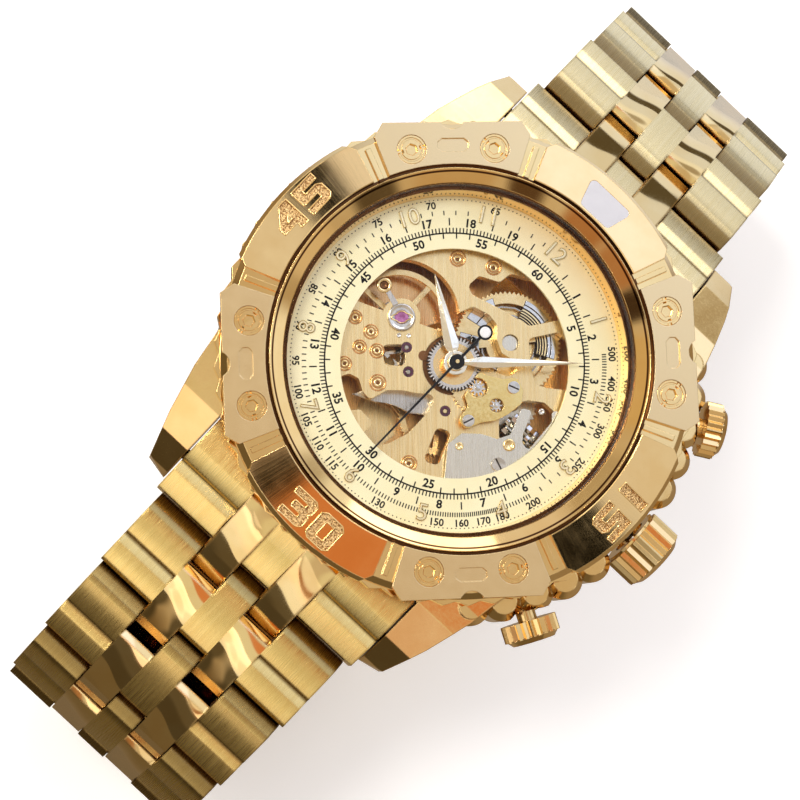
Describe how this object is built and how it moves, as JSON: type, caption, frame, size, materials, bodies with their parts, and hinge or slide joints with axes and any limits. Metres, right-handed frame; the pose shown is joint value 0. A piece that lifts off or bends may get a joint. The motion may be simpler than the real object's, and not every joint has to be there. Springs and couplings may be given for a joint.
{
  "type": "skeleton wristwatch",
  "caption": "Round wristwatch with a turning bezel, an open-worked automatic movement behind glass, a winding crown, side pushers and a closed metal link bracelet with a folding clasp.",
  "frame": {"origin": "centre of the case back's outer face", "axes": "+Z out through the dial, +Y to 12 o'clock, +X to the crown at 3 o'clock"},
  "size_m": [0.0535, 0.0993, 0.0457],
  "materials": {
    "case_gold": "polished gold plating",
    "bezel_gold": "polished gold plating",
    "bracelet_gold": "brushed and polished gold plating",
    "crystal": "clear mineral glass",
    "marker": "white inlay",
    "dial": "champagne print ground",
    "plate_gold": "brushed gilt",
    "gilt": "gilt wheels",
    "steel": "brushed steel",
    "polished_steel": "polished steel",
    "spring_steel": "blued grey spring steel",
    "jewel": "red synthetic ruby",
    "hand_gold": "polished gilt hands",
    "hand_black": "black lacquer"
  },
  "bodies": {
    "case": {"case_middle": "case_gold", "case_back": "case_gold", "back_crystal": "crystal", "movement_ring": "plate_gold", "crystal": "crystal", "dial_ring": "dial", "main_plate": "plate_gold", "train_bridge": "plate_gold", "balance_cock": "plate_gold", "jewels": "jewel", "movement_screws": "polished_steel", "motion_bridge": "plate_gold", "keyless_cover": "steel", "end_link_12": "case_gold", "end_link_6": "case_gold"},
    "bezel": {"bezel_ring": "bezel_gold", "bezel_plates": "bezel_gold", "bezel_screws": "bezel_gold", "bezel_marker": "marker"},
    "barrel_body": {"barrel": "gilt", "mainspring": "spring_steel"},
    "ratchet": {"ratchet_wheel": "steel"},
    "crown_wheel_body": {"crown_wheel": "steel"},
    "centre": {"centre_wheel": "gilt", "cannon_pinion": "gilt", "minute_hand": "hand_gold"},
    "third": {"third_wheel": "gilt"},
    "seconds": {"fourth_wheel": "gilt", "second_hand": "hand_black"},
    "escape": {"escape_wheel": "polished_steel"},
    "pallet": {"pallet_fork": "polished_steel"},
    "balance": {"balance_wheel": "gilt", "hairspring": "spring_steel"},
    "minute_wheel_body": {"minute_wheel": "gilt"},
    "hour": {"hour_wheel": "gilt", "hour_hand": "hand_gold"},
    "lever": {"setting_lever": "steel"},
    "clutch_body": {"clutch": "polished_steel"},
    "crown_body": {"crown": "case_gold", "stem": "polished_steel"},
    "winding": {"winding_pinion": "polished_steel"},
    "rotor_body": {"rotor": "steel"},
    "pusher_2_body": {"pusher_2": "case_gold"},
    "pusher_4_body": {"pusher_4": "case_gold"},
    "bracelet_6_1": {"link_6_1": "bracelet_gold"},
    "bracelet_6_2": {"link_6_2": "bracelet_gold"},
    "bracelet_6_3": {"link_6_3": "bracelet_gold"},
    "bracelet_6_4": {"link_6_4": "bracelet_gold"},
    "bracelet_6_5": {"link_6_5": "bracelet_gold"},
    "bracelet_6_6": {"link_6_6": "bracelet_gold"},
    "bracelet_6_7": {"link_6_7": "bracelet_gold"},
    "bracelet_12_1": {"link_12_1": "bracelet_gold"},
    "bracelet_12_2": {"link_12_2": "bracelet_gold"},
    "bracelet_12_3": {"link_12_3": "bracelet_gold"},
    "bracelet_12_4": {"link_12_4": "bracelet_gold"},
    "bracelet_12_5": {"link_12_5": "bracelet_gold"},
    "bracelet_12_6": {"link_12_6": "bracelet_gold"},
    "clasp_inner": {"clasp_inner_blade": "bracelet_gold"},
    "clasp_middle": {"clasp_middle_blade": "bracelet_gold"},
    "clasp_outer": {"clasp_cover": "bracelet_gold"}
  },
  "joints": [
    {"name": "bezel_turn", "type": "hinge", "parent": "case", "child": "bezel", "pos_m": [0, 0, 0.0104], "axis": [0, 0, 1], "continuous": true},
    {"name": "seconds_turn", "type": "hinge", "parent": "case", "child": "seconds", "pos_m": [0, 0, 0.011], "axis": [0, 0, 1], "continuous": true},
    {"name": "centre_turn", "type": "hinge", "parent": "case", "child": "centre", "pos_m": [0, 0, 0.0106], "axis": [0, 0, 1], "continuous": true},
    {"name": "third_turn", "type": "hinge", "parent": "case", "child": "third", "pos_m": [0.0026, -0.004, 0.0042], "axis": [0, 0, 1], "continuous": true},
    {"name": "escape_turn", "type": "hinge", "parent": "case", "child": "escape", "pos_m": [-0.0028, -0.00365, 0.0053], "axis": [0, 0, 1], "continuous": true},
    {"name": "barrel_turn", "type": "hinge", "parent": "case", "child": "barrel_body", "pos_m": [0.00275, 0.0057, 0.0059], "axis": [0, 0, 1], "continuous": true},
    {"name": "minute_wheel_turn", "type": "hinge", "parent": "case", "child": "minute_wheel_body", "pos_m": [0.00336, -0.0002, 0.0086], "axis": [0, 0, 1], "continuous": true},
    {"name": "hour_turn", "type": "hinge", "parent": "case", "child": "hour", "pos_m": [0, 0, 0.0102], "axis": [0, 0, 1], "continuous": true},
    {"name": "pallet_rock", "type": "hinge", "parent": "case", "child": "pallet", "pos_m": [-0.0046, -0.00195, 0.0053], "axis": [0, 0, 1], "range_deg": [-5, 5]},
    {"name": "balance_swing", "type": "hinge", "parent": "case", "child": "balance", "pos_m": [-0.00705, -0.0001, 0.006], "axis": [0, 0, 1], "range_deg": [-150, 150], "stiffness_Nm_per_rad": 0.000001},
    {"name": "crown_turn", "type": "hinge", "parent": "case", "child": "clutch_body", "pos_m": [0.0106, 0, 0.0059], "axis": [1, 0, 0], "continuous": true},
    {"name": "crown_pull", "type": "slide", "parent": "clutch_body", "child": "crown_body", "axis": [1, 0, 0], "range_m": [0, 0.0008]},
    {"name": "winding_pinion_turn", "type": "hinge", "parent": "case", "child": "winding", "pos_m": [0.0089, 0, 0.0059], "axis": [1, 0, 0], "continuous": true},
    {"name": "crown_wheel_turn", "type": "hinge", "parent": "case", "child": "crown_wheel_body", "pos_m": [0.0074, 0.0019, 0.0043], "axis": [0, 0, 1], "continuous": true},
    {"name": "ratchet_turn", "type": "hinge", "parent": "case", "child": "ratchet", "pos_m": [0.00275, 0.0057, 0.0043], "axis": [0, 0, 1], "continuous": true},
    {"name": "setting_lever_turn", "type": "hinge", "parent": "case", "child": "lever", "pos_m": [0.0121, -0.0036, 0.0086], "axis": [0, 0, 1], "range_deg": [-13.5, 0]},
    {"name": "rotor_turn", "type": "hinge", "parent": "case", "child": "rotor_body", "pos_m": [0, 0, 0.002], "axis": [0, 0, 1], "continuous": true},
    {"name": "pusher_2_press", "type": "slide", "parent": "case", "child": "pusher_2_body", "axis": [-0.866, -0.5, 0], "range_m": [0, 0.0008], "stiffness_N_per_m": 500},
    {"name": "pusher_4_press", "type": "slide", "parent": "case", "child": "pusher_4_body", "axis": [-0.866, 0.5, 0], "range_m": [0, 0.0008], "stiffness_N_per_m": 500},
    {"name": "hinge_6_1", "type": "hinge", "parent": "case", "child": "bracelet_6_1", "pos_m": [0, -0.0305, 0.0025], "axis": [-1, 0, 0], "range_deg": [0, 12]},
    {"name": "hinge_6_2", "type": "hinge", "parent": "bracelet_6_1", "child": "bracelet_6_2", "pos_m": [0, -0.0393, 0.00063], "axis": [-1, 0, 0], "range_deg": [0, 17]},
    {"name": "hinge_6_3", "type": "hinge", "parent": "bracelet_6_2", "child": "bracelet_6_3", "pos_m": [0, -0.04718, -0.00373], "axis": [-1, 0, 0], "range_deg": [0, 37]},
    {"name": "hinge_6_4", "type": "hinge", "parent": "bracelet_6_3", "child": "bracelet_6_4", "pos_m": [0, -0.05084, -0.01196], "axis": [-1, 0, 0], "range_deg": [0, 40]},
    {"name": "hinge_6_5", "type": "hinge", "parent": "bracelet_6_4", "child": "bracelet_6_5", "pos_m": [0, -0.04836, -0.02061], "axis": [-1, 0, 0], "range_deg": [0, 36]},
    {"name": "hinge_6_6", "type": "hinge", "parent": "bracelet_6_5", "child": "bracelet_6_6", "pos_m": [0, -0.04126, -0.02615], "axis": [-1, 0, 0], "range_deg": [0, 23]},
    {"name": "hinge_6_7", "type": "hinge", "parent": "bracelet_6_6", "child": "bracelet_6_7", "pos_m": [0, -0.03257, -0.02848], "axis": [-1, 0, 0], "range_deg": [0, 7]},
    {"name": "hinge_12_1", "type": "hinge", "parent": "case", "child": "bracelet_12_1", "pos_m": [0, 0.0305, 0.0025], "axis": [1, 0, 0], "range_deg": [0, 30]},
    {"name": "hinge_12_2", "type": "hinge", "parent": "bracelet_12_1", "child": "bracelet_12_2", "pos_m": [0, 0.03829, -0.002], "axis": [1, 0, 0], "range_deg": [0, 16]},
    {"name": "hinge_12_3", "type": "hinge", "parent": "bracelet_12_2", "child": "bracelet_12_3", "pos_m": [0, 0.04455, -0.00847], "axis": [1, 0, 0], "range_deg": [0, 40]},
    {"name": "hinge_12_4", "type": "hinge", "parent": "bracelet_12_3", "child": "bracelet_12_4", "pos_m": [0, 0.04517, -0.01745], "axis": [1, 0, 0], "range_deg": [0, 44]},
    {"name": "hinge_12_5", "type": "hinge", "parent": "bracelet_12_4", "child": "bracelet_12_5", "pos_m": [0, 0.03939, -0.02435], "axis": [1, 0, 0], "range_deg": [0, 28]},
    {"name": "hinge_12_6", "type": "hinge", "parent": "bracelet_12_5", "child": "bracelet_12_6", "pos_m": [0, 0.03104, -0.02772], "axis": [1, 0, 0], "range_deg": [0, 12]},
    {"name": "hinge_12_7", "type": "hinge", "parent": "bracelet_12_6", "child": "clasp_inner", "pos_m": [0, 0.02218, -0.02928], "axis": [1, 0, 0], "range_deg": [0, 9.44]},
    {"name": "clasp_unfold", "type": "hinge", "parent": "clasp_inner", "child": "clasp_middle", "pos_m": [0, -0.01717, -0.02877], "axis": [-1, 0, 0], "range_deg": [0, 130]},
    {"name": "clasp_open", "type": "hinge", "parent": "clasp_middle", "child": "clasp_outer", "pos_m": [0, 0.01698, -0.02963], "axis": [1, 0, 0], "range_deg": [0, 120]}
  ],
  "couplings": [
    {"joint": "third_turn", "follows": "seconds_turn", "ratio": -0.13333},
    {"joint": "centre_turn", "follows": "seconds_turn", "ratio": 0.016667},
    {"joint": "barrel_turn", "follows": "seconds_turn", "ratio": -0.0027778},
    {"joint": "minute_wheel_turn", "follows": "seconds_turn", "ratio": -0.0055556},
    {"joint": "hour_turn", "follows": "seconds_turn", "ratio": 0.0013889},
    {"joint": "escape_turn", "follows": "seconds_turn", "ratio": -12},
    {"joint": "winding_pinion_turn", "follows": "crown_turn", "ratio": 1},
    {"joint": "crown_wheel_turn", "follows": "crown_turn", "ratio": 0.4},
    {"joint": "ratchet_turn", "follows": "crown_turn", "ratio": -0.3},
    {"joint": "setting_lever_turn", "follows": "crown_pull", "rad_per_m": -280.1}
  ]
}
